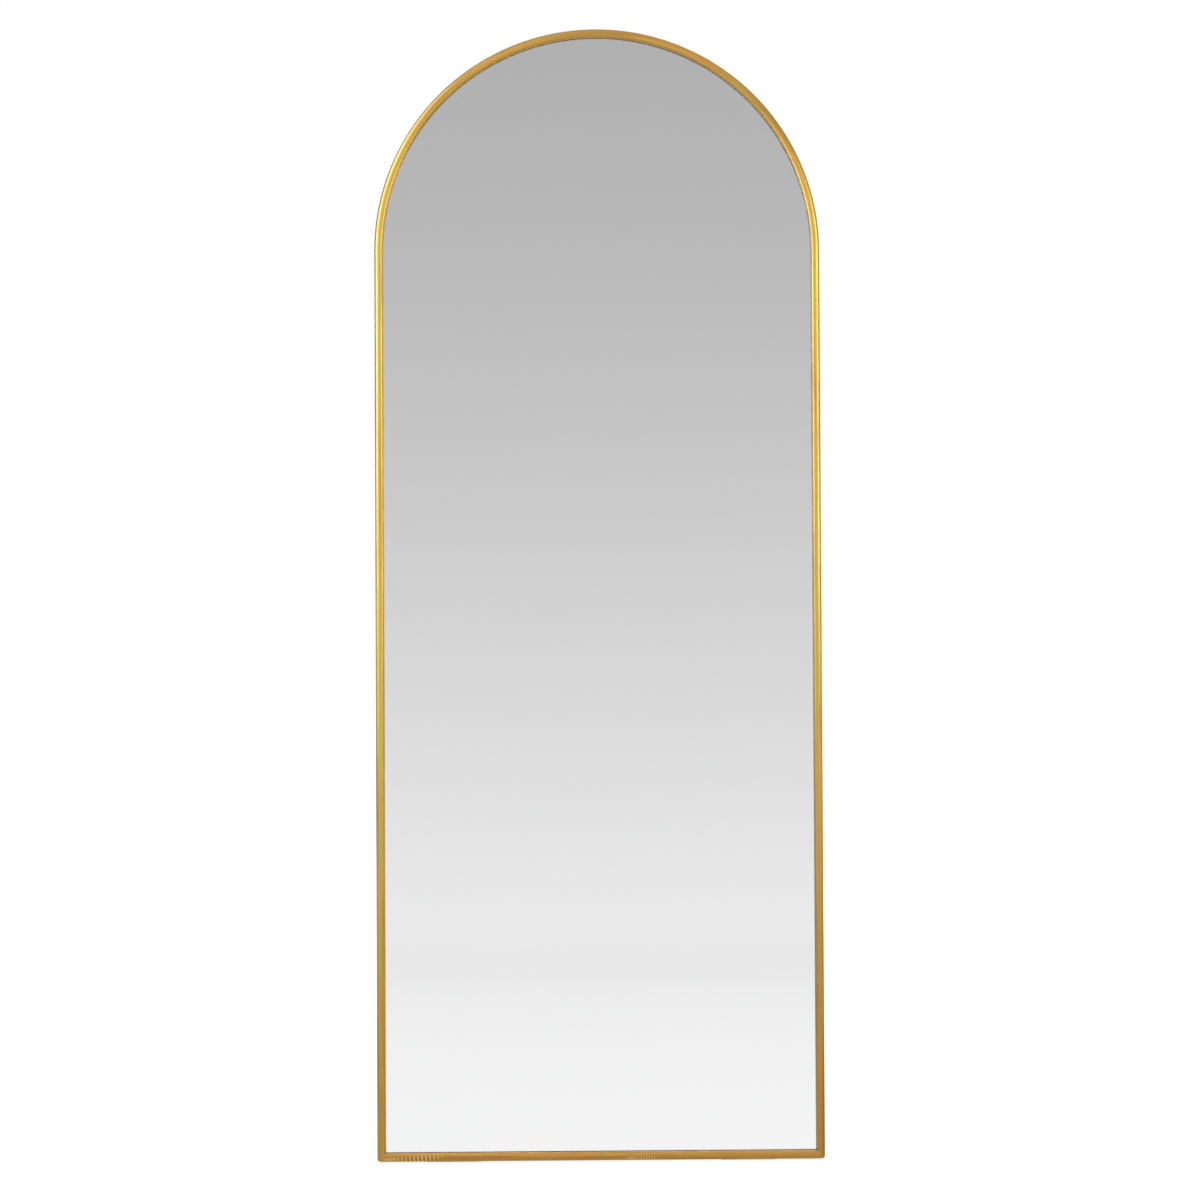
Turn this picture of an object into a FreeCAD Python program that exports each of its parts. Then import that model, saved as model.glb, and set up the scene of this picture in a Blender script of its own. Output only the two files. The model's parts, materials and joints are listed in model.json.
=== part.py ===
import FreeCAD, Part
import math
import os

from FreeCAD import Placement, Rotation, Vector

# Leaning floor mirror: an arched full-length mirror in a thin brass-coloured frame.
#
# The frame is one hollow section with a front lip: a single length bent into two legs and a
# half-round arch, closed at the bottom by a straight rail. The mitres are keyed inside. The
# glass, its coatings and the backing board drop in from behind, sit on two setting blocks and
# are held by offset clips. Two steel bars tie the legs, and the upper one carries two hangers
# whose rings swing. Rubber feet and rubber bumpers touch the floor and the wall.
#
# Everything is drawn upright first: x across, y from the front face backwards, z up the
# mirror from the underside of the rail. The last step leans it back against the wall.
# Sizes are in millimetres, angles in degrees.

# ---- the whole mirror
overall_width = 711.0
overall_height = 1803.0
lean_angle = 6.0
wall_gap = 1.5                # between the arch's rear edge and the wall

# ---- frame section: u runs inwards from the outer side, y backwards from the face
face_width = 13.5
frame_depth = 25.4
leg_width = 7.5               # the section behind the lip
lip_thickness = 4.0
front_edge_radius = 3.5
rear_edge_radius = 1.0
shoulder_radius = 0.3
section_wall = 1.5
front_web = 3.5               # metal in front of the chamber
chamber_radius = 0.4
corner_radius = 5.0           # the dressed outer corners at the floor

# ---- glazing pack, from front to back
glazing_tape_thickness = 0.8
glazing_tape_width = 3.0
glazing_tape_inset = 1.0      # from the lip's inner edge
glass_thickness = 4.0
silvering_thickness = 0.1
safety_film_thickness = 0.3
mounting_tape_thickness = 1.5
mounting_tape_width = 25.0
mounting_tape_margin = 40.0   # from the glass edge to each end of a strip
mounting_tape_side = 74.0     # from the glass's side edges to the outermost strips
mounting_tape_count = 5
board_thickness = 9.0
pack_clearance = 1.5          # round the glass and the board
setting_block_height = 3.0
setting_block_length = 60.0
setting_block_inset = 177.5   # from the frame's outer side to the block's middle

# ---- corner keys inside the mitres
key_clearance = 0.1
key_arm = 45.0
key_screw_position = 32.0     # from the corner, along each arm
key_thread_depth = 9.0

# ---- screws
small_screw_radius = 1.5
small_head_radius = 2.8
small_head_height = 2.0
head_rounding = 0.6           # rim radius over the head's height
thread_clearance = 0.05
hole_clearance = 0.2
clip_screw_length = 6.0
bar_screw_length = 8.0
key_screw_length = 8.0
recess_width = 0.8
recess_depth = 1.0
recess_share = 1.3            # cross recess length over the head's radius

# ---- board clips, bent from strip
clip_thickness = 1.2
clip_width = 14.0
clip_edge = 0.7               # from the frame's outer side
clip_leg_gap = 0.3            # between the frame and the clip's step
clip_foot = 11.0
clip_bend_radius = 0.8
arch_clip_count = 3
bottom_clip_inset = 140.5     # from the frame's outer side
leg_clips_between_bars = 3

# ---- tie bars
bar_thickness = 3.0
bar_height = 42.0
bar_edge = 0.7                # from the frame's outer side
bar_corner_radius = 2.5
bar_screw_pitch = 24.0
upper_bar_drop = 75.5         # from the foot of the arch down to the bar's middle
lower_bar_position = 330.0

# ---- hangers: a folded strap and a D-shaped ring
hanger_inset = 140.5          # from the frame's outer side
strap_thickness = 1.2
strap_width = 12.0
strap_length = 34.0           # from the pivot to the lower end
strap_corner_radius = 3.5
ring_wire_radius = 1.5
ring_clearance = 0.1
ring_half_width = 9.0         # to the wire's centre line
ring_reach = 20.0             # from the pivot to the far side's centre line
ring_bend_radius = 2.4
pivot_drop = 3.5              # from the bar's upper edge
hanger_screw_radius = 2.0
hanger_head_radius = 3.7
hanger_head_height = 1.8
hanger_screw_length = 6.4
hanger_screw_positions = (12.0, 27.0)

# ---- bumpers
bumper_radius = 11.0
bumper_tip_radius = 9.0
bumper_bore_radius = 4.2
bumper_web = 4.0              # rubber under the screw head
bumper_rim_radius = 1.2
upper_bumper_edge = 42.0      # from the frame's outer side
upper_bumper_angle = 18.0     # from the arch's crown
lower_bumper_inset = 65.5     # from the frame's outer side
lower_bumper_position = 62.0
bumper_screw_radius = 1.75
bumper_head_radius = 3.4
bumper_head_height = 2.2
bumper_screw_bite = 7.5       # into the board
pilot_clearance = 0.5         # the hole in the board is this much deeper

# ---- feet: wedges that lie flat on the floor at the lean
foot_length = 90.0
foot_width = 12.0
foot_rear_inset = 1.4         # from the frame's rear face
foot_rear_thickness = 1.5
foot_inset = 120.5            # from the frame's outer side to the foot's middle
foot_end_radius = 4.0
stud_radius = 2.5
stud_length = 2.6
stud_offset = 28.0
stud_clearance = 0.05

# ---- how far a drill or a cutting block runs past a face
overshoot = 1.0

# ---- worked out from the sizes above
half_width = overall_width / 2
spring_height = overall_height - half_width
upper_bar_position = spring_height - upper_bar_drop
hanger_offset = half_width - hanger_inset
foot_offset = half_width - foot_inset
leg_middle = leg_width / 2
glass_front = lip_thickness + glazing_tape_thickness
silvering_front = glass_front + glass_thickness
film_front = silvering_front + silvering_thickness
mounting_tape_front = film_front + safety_film_thickness
board_front = mounting_tape_front + mounting_tape_thickness
board_rear = board_front + board_thickness
pack_inset = leg_width + pack_clearance
pack_bottom = leg_width + setting_block_height
bar_rear = frame_depth + bar_thickness

lean = math.radians(lean_angle)
foot_rear = frame_depth - foot_rear_inset
floor_rise = math.tan(lean)   # the floor plane's slope over the upright mirror's depth
wall_reach = math.cos(lean) * frame_depth + math.sin(lean) * overall_height + wall_gap
front_reach = front_edge_radius * (math.cos(lean) + math.sin(lean) - 1)


def lean_placement():
    """From the upright mirror to its place on the floor, midway between its front and the wall."""
    rotation = Rotation(Vector(1, 0, 0), -lean_angle)
    drop = foot_rear_thickness + foot_rear * floor_rise
    shift = Vector(0, -(front_reach + wall_reach) / 2, math.cos(lean) * drop)
    return Placement(shift, rotation)


# ---- drawing helpers
def rounded_wire(points, radii):
    """A closed wire through the points, each corner rounded by its own radius."""
    edges = []
    count = len(points)
    starts, ends = [], []
    for i, corner in enumerate(points):
        before = (points[i - 1] - corner).normalize()
        after = (points[(i + 1) % count] - corner).normalize()
        half_angle = before.getAngle(after) / 2
        run = radii[i] / math.tan(half_angle)
        starts.append(corner + before * run)
        ends.append(corner + after * run)
        if radii[i] > 0:
            toward = (before + after).normalize()
            middle = corner + toward * (radii[i] / math.sin(half_angle) - radii[i])
            edges.append(Part.Arc(starts[i], middle, ends[i]).toShape())
        if i:
            edges.append(Part.LineSegment(ends[i - 1], starts[i]).toShape())
    edges.append(Part.LineSegment(ends[-1], starts[0]).toShape())
    return Part.Wire(Part.__sortEdges__(edges))


def rounded_box(low, high, radius, axis):
    """A box from corner to corner, its four edges along the axis rounded."""
    box = Part.makeBox(high.x - low.x, high.y - low.y, high.z - low.z, low)
    along = [e for e in box.Edges if abs(e.tangentAt(e.FirstParameter).dot(axis)) > 0.5]
    return box.makeFillet(radius, along)


def cylinder(radius, start, end):
    """A round bar from one point to another."""
    return Part.makeCylinder(radius, (end - start).Length, start, end - start)


def union(shapes):
    """One solid out of touching shapes, with no seams left on flat or round faces."""
    return shapes[0].fuse(shapes[1:]).removeSplitter()


def mirrored(shape):
    """The same shape on the other side of the centre line."""
    return shape.mirror(Vector(0, 0, 0), Vector(1, 0, 0))


def group(shapes):
    """Several solids kept apart in one node."""
    return Part.makeCompound(shapes)


def arch_plate(inset, bottom, front, thickness):
    """An arch-topped plate, inset from the frame's outline, its lower edge at bottom."""
    radius = half_width - inset
    left, right = Vector(-radius, front, bottom), Vector(radius, front, bottom)
    spring_left, spring_right = (Vector(x, front, spring_height) for x in (-radius, radius))
    crown = Vector(0, front, spring_height + radius)
    outline = Part.Wire([
        Part.LineSegment(left, right).toShape(),
        Part.LineSegment(right, spring_right).toShape(),
        Part.Arc(spring_right, crown, spring_left).toShape(),
        Part.LineSegment(spring_left, left).toShape(),
    ])
    return Part.Face(outline).extrude(Vector(0, thickness, 0))


def station(x, z, outward):
    """A place on the frame's outline: local x runs inwards, y backwards, z along the frame."""
    return Placement(Vector(x, 0, z), Rotation(Vector(0, 1, 0), 180 - outward))


def placed(shape, placement, offset=Vector()):
    """A copy of the shape, moved by the offset and then into the placement."""
    copy = shape.copy()
    copy.Placement = placement.multiply(Placement(offset, Rotation()))
    return copy


# ---- frame
def section_face():
    """The frame's hollow section in the plane z = 0, its outer side at x = 0."""
    outer = rounded_wire(
        [
            Vector(0, 0, 0),
            Vector(face_width, 0, 0),
            Vector(face_width, lip_thickness, 0),
            Vector(leg_width, lip_thickness, 0),
            Vector(leg_width, frame_depth, 0),
            Vector(0, frame_depth, 0),
        ],
        [front_edge_radius, front_edge_radius, shoulder_radius, 0, rear_edge_radius, rear_edge_radius],
    )
    low, high = section_wall, leg_width - section_wall
    front, rear = front_web, frame_depth - section_wall
    chamber = rounded_wire(
        [Vector(low, front, 0), Vector(high, front, 0), Vector(high, rear, 0), Vector(low, rear, 0)],
        [chamber_radius] * 4,
    )
    return Part.Face(outer).cut(Part.Face(chamber)).Faces[0]


def corner_block(polygon):
    """A tall prism over a polygon given in corner coordinates (u across, v up)."""
    beyond = frame_depth
    points = [Vector(u - half_width, -beyond, v) for u, v in polygon]
    face = Part.Face(Part.makePolygon(points + points[:1]))
    return face.extrude(Vector(0, frame_depth + 2 * beyond, 0))


def corner_wedge(section, sweep):
    """The dressed outer corner at the left: the section's outer strip turned round the corner."""
    strip = Part.makeBox(
        corner_radius, 3 * frame_depth, 2 * overshoot, Vector(0, -frame_depth, -overshoot)
    )
    outer = section.common(strip).Faces[0]
    outer.translate(Vector(-half_width, 0, corner_radius))
    axis_point = Vector(corner_radius - half_width, 0, corner_radius)
    return outer.revolve(axis_point, Vector(0, 1, 0), sweep)


def mitred_end(straight, wedge, above):
    """Cuts the left end of a straight length to the mitre and adds its half of the corner."""
    far = 2 * face_width
    other_side = (far, -far) if above else (-far, far)
    low, high = -overshoot, corner_radius
    square = [(low, low), (high, low), (high, high), (low, high)]
    triangle = [(-far, -far), (far, far), other_side]
    trimmed = straight.cut([corner_block(square), corner_block(triangle)])
    return union([trimmed, wedge])


def frame_lengths():
    """The bent hoop and the bottom rail, before drilling."""
    section = section_face()
    leg = section.copy()
    leg.translate(Vector(-half_width, 0, 0))
    leg = leg.extrude(Vector(0, 0, spring_height))
    leg = mitred_end(leg, corner_wedge(section, -45), above=True)
    arch = section.copy()
    arch.translate(Vector(-half_width, 0, spring_height))
    arch = arch.revolve(Vector(0, 0, spring_height), Vector(0, 1, 0), 180)
    hoop = union([arch, leg, mirrored(leg)])

    upright = Rotation(Vector(0, 1, 0), -90)   # turns the section's width from x to z
    lying = section.copy()
    lying.Placement = Placement(Vector(0, 0, 0), upright)
    half = lying.copy()
    half.translate(Vector(-half_width, 0, 0))
    half = half.extrude(Vector(overall_width, 0, 0))
    turned = corner_wedge(section, -45)        # the leg's half, reflected in the mitre
    diagonal = Vector(1, 0, -1).normalize()
    turned = turned.mirror(Vector(-half_width, 0, 0), diagonal)
    half = mitred_end(half, turned, above=False)
    rail = mirrored(mitred_end(mirrored(half), turned, above=False))
    return hoop, rail


def corner_key():
    """The L-shaped key in the left mitre, cut from a block and tapped from behind."""
    low = section_wall + key_clearance
    high = leg_width - section_wall - key_clearance
    points = [(low, low), (key_arm, low), (key_arm, high), (high, high), (high, key_arm), (low, key_arm)]
    radii = [max(corner_radius - low, chamber_radius), 0, 0, 0, 0, 0]
    front = front_web + key_clearance
    rear = frame_depth - section_wall - key_clearance
    wire = rounded_wire([Vector(u - half_width, front, v) for u, v in points], radii)
    key = Part.Face(wire).extrude(Vector(0, rear - front, 0))
    ends = [e for e in key.Edges if abs(e.tangentAt(e.FirstParameter).y) > 0.5]
    long_edges = [e for e in key.Edges if not any(e.isSame(end) for end in ends)]
    key = key.makeChamfer(chamber_radius, long_edges)
    drill = small_screw_radius + thread_clearance
    return key.cut([
        cylinder(drill, Vector(x, rear - key_thread_depth, z), Vector(x, rear + overshoot, z))
        for x, z in key_screw_places()
    ])


def key_screw_places():
    """Where the left key's two screws enter: one in the leg, one in the rail."""
    return [
        (leg_middle - half_width, key_screw_position),
        (key_screw_position - half_width, leg_middle),
    ]


# ---- screws: the seat at y = 0, the head behind it, the shank running forwards
def cross_recess(head_radius, top):
    """The two crossed slots that a driver fits."""
    length = head_radius * recess_share
    slots = []
    for across, along in ((length, recess_width), (recess_width, length)):
        corner = Vector(-across / 2, top - recess_depth, -along / 2)
        slots.append(Part.makeBox(across, 2 * recess_depth, along, corner))
    return slots


def pan_screw(radius, head_radius, head_height, length):
    """A pan-head screw with a rounded head."""
    head = cylinder(head_radius, Vector(0, 0, 0), Vector(0, head_height, 0))
    rim = [e for e in head.Edges if e.BoundBox.YMin > head_height / 2 and e.BoundBox.XLength > head_radius]
    head = head.makeFillet(head_height * head_rounding, rim)
    shank = cylinder(radius, Vector(0, -length, 0), Vector(0, 0, 0))
    return union([head, shank]).cut(cross_recess(head_radius, head_height))


def flat_screw(radius, head_radius, head_height, length):
    """A countersunk screw, its flat top at y = 0."""
    head = Part.makeCone(radius, head_radius, head_height, Vector(0, -head_height, 0), Vector(0, 1, 0))
    shank = cylinder(radius, Vector(0, -length, 0), Vector(0, -head_height, 0))
    return union([head, shank]).cut(cross_recess(head_radius, 0))


def through_hole(seat, radius):
    """A drill right through whatever lies under a screw's seat."""
    return cylinder(radius, seat - Vector(0, frame_depth, 0), seat + Vector(0, overshoot, 0))


def frame_screw(length):
    """The small screw used all round the frame's rear face."""
    return pan_screw(small_screw_radius, small_head_radius, small_head_height, length)


# ---- board clips
def clip_stations():
    """Every clip's place: up both legs, round the arch and along the rail."""
    rise = (upper_bar_position - lower_bar_position) / (leg_clips_between_bars + 1)
    heights = [lower_bar_position / 2]
    heights += [lower_bar_position + rise * (i + 1) for i in range(leg_clips_between_bars)]
    places = [station(-half_width, z, 180) for z in heights]
    places += [station(half_width, z, 0) for z in heights]
    for i in range(arch_clip_count):
        angle = 180 * (i + 1) / (arch_clip_count + 1)
        x = half_width * math.cos(math.radians(angle))
        z = half_width * math.sin(math.radians(angle))
        places.append(station(x, spring_height + z, angle))
    bottom_offset = half_width - bottom_clip_inset
    places += [station(x, 0, 270) for x in (-bottom_offset, bottom_offset)]
    return places


def board_clip():
    """A strip bent down from the frame's rear face onto the board."""
    step = leg_width + clip_leg_gap
    points = [
        (clip_edge, frame_depth), (step, frame_depth), (step, board_rear), (step + clip_foot, board_rear),
        (step + clip_foot, board_rear + clip_thickness), (step + clip_thickness, board_rear + clip_thickness),
        (step + clip_thickness, frame_depth + clip_thickness), (clip_edge, frame_depth + clip_thickness),
    ]
    outside = clip_bend_radius + clip_thickness
    # the step's two bends: tight on the inside, wider by the strip's thickness on the outside
    radii = [0, 0, 0, 0, 0, clip_bend_radius, min(outside, step + clip_thickness - clip_edge), 0]
    wire = rounded_wire([Vector(u, y, -clip_width / 2) for u, y in points], radii)
    strip = Part.Face(wire).extrude(Vector(0, 0, clip_width))
    entry = Vector(leg_middle, frame_depth + clip_thickness, 0)
    return strip.cut(through_hole(entry, small_screw_radius + hole_clearance))


# ---- tie bars
def bar_screw_places(position):
    """Two screws in each end of a bar."""
    reach = half_width - leg_middle
    heights = (position - bar_screw_pitch / 2, position + bar_screw_pitch / 2)
    return [Vector(x, bar_rear, z) for x in (-reach, reach) for z in heights]


def tie_bar(position):
    """A flat bar across the frame's rear face."""
    reach = half_width - bar_edge
    bar = rounded_box(
        Vector(-reach, frame_depth, position - bar_height / 2),
        Vector(reach, bar_rear, position + bar_height / 2),
        bar_corner_radius, Vector(0, 1, 0),
    )
    radius = small_screw_radius + hole_clearance
    return bar.cut([through_hole(seat, radius) for seat in bar_screw_places(position)])


# ---- hangers
def hanger_pivot():
    """The left ring's pivot: just above the strap, near the upper bar's upper edge."""
    y = bar_rear + strap_thickness + ring_wire_radius + ring_clearance
    return Vector(-hanger_offset, y, upper_bar_position + bar_height / 2 - pivot_drop)


def hanger_screw_seats():
    """The left strap's screws, their flat tops flush with the folded strap."""
    pivot = hanger_pivot()
    return [Vector(pivot.x, bar_rear + 2 * strap_thickness, pivot.z - d) for d in hanger_screw_positions]


def hanger_plate():
    """The left strap: folded double round the ring's wire."""
    pivot = hanger_pivot()
    half = strap_width / 2
    bore = ring_wire_radius + ring_clearance
    low, high = pivot.z - strap_length, pivot.z
    outline = rounded_wire(
        [Vector(pivot.x - half, bar_rear, low), Vector(pivot.x + half, bar_rear, low),
         Vector(pivot.x + half, bar_rear, high), Vector(pivot.x - half, bar_rear, high)],
        [strap_corner_radius, strap_corner_radius, 0, 0],
    )
    strap = Part.Face(outline).extrude(Vector(0, 2 * strap_thickness, 0))
    left, right = pivot - Vector(half, 0, 0), pivot + Vector(half, 0, 0)
    knuckle = cylinder(bore + strap_thickness, left, right)
    past = Vector(overshoot, 0, 0)
    plate = union([strap, knuckle]).cut(cylinder(bore, left - past, right + past))
    narrow, wide = hanger_screw_radius + thread_clearance, hanger_head_radius + thread_clearance
    sinks = []
    for seat in hanger_screw_seats():
        bottom = seat - Vector(0, hanger_head_height, 0)
        sinks.append(through_hole(seat, narrow))
        sinks.append(Part.makeCone(narrow, wide, hanger_head_height, bottom, Vector(0, 1, 0)))
    return plate.cut(sinks)


def hanger_ring():
    """The left D-shaped ring, hanging plumb from its strap."""
    pivot = hanger_pivot()
    a, b = ring_half_width, ring_bend_radius
    arc_centre = ring_reach - ring_half_width

    def at(x, d):
        return Vector(pivot.x + x, pivot.y, pivot.z - d)

    slant = b * (1 - math.sqrt(0.5))
    path = Part.Wire([
        Part.LineSegment(at(0, 0), at(a - b, 0)).toShape(),
        Part.Arc(at(a - b, 0), at(a - slant, slant), at(a, b)).toShape(),
        Part.LineSegment(at(a, b), at(a, arc_centre)).toShape(),
        Part.Arc(at(a, arc_centre), at(0, ring_reach), at(-a, arc_centre)).toShape(),
        Part.LineSegment(at(-a, arc_centre), at(-a, b)).toShape(),
        Part.Arc(at(-a, b), at(slant - a, slant), at(b - a, 0)).toShape(),
        Part.LineSegment(at(b - a, 0), at(0, 0)).toShape(),
    ])
    wire = Part.Wire(Part.Circle(pivot, Vector(1, 0, 0), ring_wire_radius).toShape())
    ring = path.makePipeShell([wire], True, True)
    ring.rotate(pivot, Vector(1, 0, 0), lean_angle)
    return ring


# ---- bumpers
def upper_bumper_place():
    """The left upper bumper's foot on the board, near the crown of the arch."""
    reach = half_width - upper_bumper_edge
    angle = math.radians(90 + upper_bumper_angle)
    return Vector(reach * math.cos(angle), board_rear, spring_height + reach * math.sin(angle))


def lower_bumper_place():
    """The left lower bumper's foot on the board."""
    return Vector(lower_bumper_inset - half_width, board_rear, lower_bumper_position)


def bumper_height():
    """How far a bumper stands off the board: at the upper pair's middle it reaches the wall."""
    place = upper_bumper_place()
    return (wall_reach - math.sin(lean) * place.z) / math.cos(lean) - board_rear


def bumper(place, extra):
    """A tapered rubber bumper with a deep bore for its screw."""
    height = bumper_height() + extra
    along = Vector(0, 1, 0)
    taper = (bumper_radius - bumper_tip_radius) / bumper_height()
    tip = bumper_radius - taper * height
    body = Part.makeCone(bumper_radius, tip, height, place, along)
    floor = place + along * bumper_web
    bore = cylinder(bumper_bore_radius, floor, floor + along * height)
    return body.cut([bore, through_hole(floor, bumper_screw_radius + hole_clearance)])


def upper_bumper():
    """A bumper whose face is cut to lie flat on the wall at the lean."""
    place = upper_bumper_place()
    extra = bumper_radius * math.tan(lean) + overshoot
    wall_point = place + Vector(0, bumper_height(), 0)
    size = 4 * bumper_radius
    beyond = Part.makeBox(size, size, size, wall_point - Vector(size / 2, 0, size / 2))
    beyond.rotate(wall_point, Vector(1, 0, 0), lean_angle)
    return bumper(place, extra).cut(beyond)


def lower_bumper():
    """A bumper cut square, its rim eased."""
    place = lower_bumper_place()
    body = bumper(place, 0)
    edges = sorted(body.Edges, key=lambda e: (e.CenterOfMass.y, e.Length))
    return body.makeFillet(bumper_rim_radius, edges[-1:])


def bumper_screw(place):
    """The wood screw that holds a bumper to the board."""
    length = bumper_web + bumper_screw_bite
    screw = pan_screw(bumper_screw_radius, bumper_head_radius, bumper_head_height, length)
    return placed(screw, Placement(place + Vector(0, bumper_web, 0), Rotation()))


# ---- feet
def foot_stud_places():
    """The left foot's two studs, on the underside of the rail."""
    y = foot_rear - foot_width / 2
    return [Vector(-foot_offset + side * stud_offset, y, 0) for side in (-1, 1)]


def foot():
    """The left foot: a rubber wedge under the rail, held by two moulded studs."""
    front = foot_rear - foot_width
    thick = foot_rear_thickness + foot_width * floor_rise
    low = Vector(-foot_offset - foot_length / 2, front, -thick)
    high = Vector(-foot_offset + foot_length / 2, foot_rear, 0)
    pad = rounded_box(low, high, foot_end_radius, Vector(0, 0, 1))
    size = 2 * foot_length
    heel = Vector(-foot_offset, foot_rear, -foot_rear_thickness)
    floor = Part.makeBox(size, size, size, heel - Vector(size / 2, size / 2, size))
    floor.rotate(heel, Vector(1, 0, 0), lean_angle)
    studs = [cylinder(stud_radius, p, p + Vector(0, 0, stud_length)) for p in foot_stud_places()]
    return union([pad.cut(floor)] + studs)


# ---- the whole assembly, upright
def assembly():
    """Every node by name, before the lean."""
    hoop, rail = frame_lengths()
    clips = clip_stations()
    bars = {"upper_bar": upper_bar_position, "lower_bar": lower_bar_position}
    bar_seats = [seat for position in bars.values() for seat in bar_screw_places(position)]
    key_seats = [Vector(side * x, frame_depth, z) for x, z in key_screw_places() for side in (1, -1)]

    # threaded holes in the frame's rear wall, and stud holes in the underside of the rail
    drill = small_screw_radius + thread_clearance
    drill_in = Vector(0, section_wall + overshoot, 0)
    drill_out = Vector(0, overshoot, 0)
    entry = Vector(leg_middle, frame_depth, 0)
    tapping = cylinder(drill, entry - drill_in, entry + drill_out)
    holes = [placed(tapping, place) for place in clips]
    for seat in bar_seats + key_seats:
        entry = Vector(seat.x, frame_depth, seat.z)
        holes.append(cylinder(drill, entry - drill_in, entry + drill_out))
    low, high = Vector(0, 0, overshoot), Vector(0, 0, section_wall + overshoot)
    sockets = [cylinder(stud_radius + stud_clearance, p - low, p + high) for p in foot_stud_places()]
    sockets += [mirrored(socket) for socket in sockets]

    nodes = {"frame_hoop": hoop.cut(holes), "bottom_rail": rail.cut(holes + sockets)}
    key = corner_key()
    nodes["corner_key_left"] = key
    nodes["corner_key_right"] = mirrored(key)
    key_screw = frame_screw(key_screw_length)
    nodes["corner_key_screws"] = group([placed(key_screw, Placement(seat, Rotation())) for seat in key_seats])

    # glazing pack
    tape_outer = face_width - glazing_tape_inset - glazing_tape_width
    tape_inner = face_width - glazing_tape_inset
    band, middle = (
        arch_plate(inset, inset, lip_thickness, glazing_tape_thickness) for inset in (tape_outer, tape_inner)
    )
    nodes["glazing_tape"] = band.cut(middle)
    nodes["mirror_glass"] = arch_plate(pack_inset, pack_bottom, glass_front, glass_thickness)
    nodes["silvering"] = arch_plate(pack_inset, pack_bottom, silvering_front, silvering_thickness)
    nodes["safety_film"] = arch_plate(pack_inset, pack_bottom, film_front, safety_film_thickness)
    nodes["mounting_tape"] = group([mounting_strip(i) for i in range(mounting_tape_count)])
    block = setting_block()
    nodes["setting_blocks"] = group([block, mirrored(block)])

    # fittings on the back
    bumper_places = [upper_bumper_place(), lower_bumper_place()]
    board = arch_plate(pack_inset, pack_bottom, board_front, board_thickness)
    pilot_radius = bumper_screw_radius + thread_clearance
    depth = Vector(0, bumper_screw_bite + pilot_clearance, 0)
    pilots = [cylinder(pilot_radius, place - depth, place + drill_out) for place in bumper_places]
    nodes["backing_board"] = board.cut(pilots + [mirrored(pilot) for pilot in pilots])
    clip = board_clip()
    clip_screw = frame_screw(clip_screw_length)
    clip_seat = Vector(leg_middle, frame_depth + clip_thickness, 0)
    nodes["board_clips"] = group([placed(clip, place) for place in clips])
    nodes["board_clip_screws"] = group([placed(clip_screw, place, clip_seat) for place in clips])

    hanger_seats = hanger_screw_seats()
    tapped = [through_hole(seat, hanger_screw_radius + thread_clearance) for seat in hanger_seats]
    tapped += [mirrored(hole) for hole in tapped]
    for name, position in bars.items():
        nodes[name] = tie_bar(position)
    nodes["upper_bar"] = nodes["upper_bar"].cut(tapped)
    bar_screw = frame_screw(bar_screw_length)
    nodes["bar_screws"] = group([placed(bar_screw, Placement(seat, Rotation())) for seat in bar_seats])

    plate, ring = hanger_plate(), hanger_ring()
    nodes["hanger_plate_left"] = plate
    nodes["hanger_plate_right"] = mirrored(plate)
    nodes["hanger_ring_left"] = ring
    nodes["hanger_ring_right"] = mirrored(ring)
    screw = flat_screw(hanger_screw_radius, hanger_head_radius, hanger_head_height, hanger_screw_length)
    screws = [placed(screw, Placement(seat, Rotation())) for seat in hanger_seats]
    nodes["hanger_screws"] = group(screws + [mirrored(s) for s in screws])

    high, low = upper_bumper(), lower_bumper()
    nodes["upper_bumpers"] = group([high, mirrored(high)])
    nodes["lower_bumpers"] = group([low, mirrored(low)])
    screws = [bumper_screw(place) for place in bumper_places]
    nodes["bumper_screws"] = group(screws + [mirrored(s) for s in screws])

    pad = foot()
    nodes["foot_left"] = pad
    nodes["foot_right"] = mirrored(pad)
    return nodes


def mounting_strip(index):
    """One strip of foam tape between the glass and the board, cut square below the arch."""
    glass_reach = half_width - pack_inset
    outermost = glass_reach - mounting_tape_side - mounting_tape_width / 2
    x = outermost * (2 * index / (mounting_tape_count - 1) - 1)
    far_edge = abs(x) + mounting_tape_width / 2
    top = spring_height + math.sqrt((glass_reach - mounting_tape_margin) ** 2 - far_edge ** 2)
    bottom = pack_bottom + mounting_tape_margin
    corner = Vector(x - mounting_tape_width / 2, mounting_tape_front, bottom)
    return Part.makeBox(mounting_tape_width, mounting_tape_thickness, top - bottom, corner)


def setting_block():
    """The left block that carries the glass and the board on the rail."""
    left = setting_block_inset - half_width - setting_block_length / 2
    corner = Vector(left, glass_front, leg_width)
    return Part.makeBox(setting_block_length, board_rear - glass_front, setting_block_height, corner)


def main():
    os.makedirs("parts", exist_ok=True)
    place = lean_placement()
    for name, shape in assembly().items():
        leaning = shape.copy()
        leaning.Placement = place.multiply(leaning.Placement)
        leaning.exportStep(os.path.join("parts", name + ".step"))
        print(f"{name}: {len(leaning.Solids)} solids, {leaning.Volume:.1f} mm3, valid {leaning.isValid()}")


main()
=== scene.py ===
import bmesh
import bpy
import json
import math
from mathutils import Matrix, Vector


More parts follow.
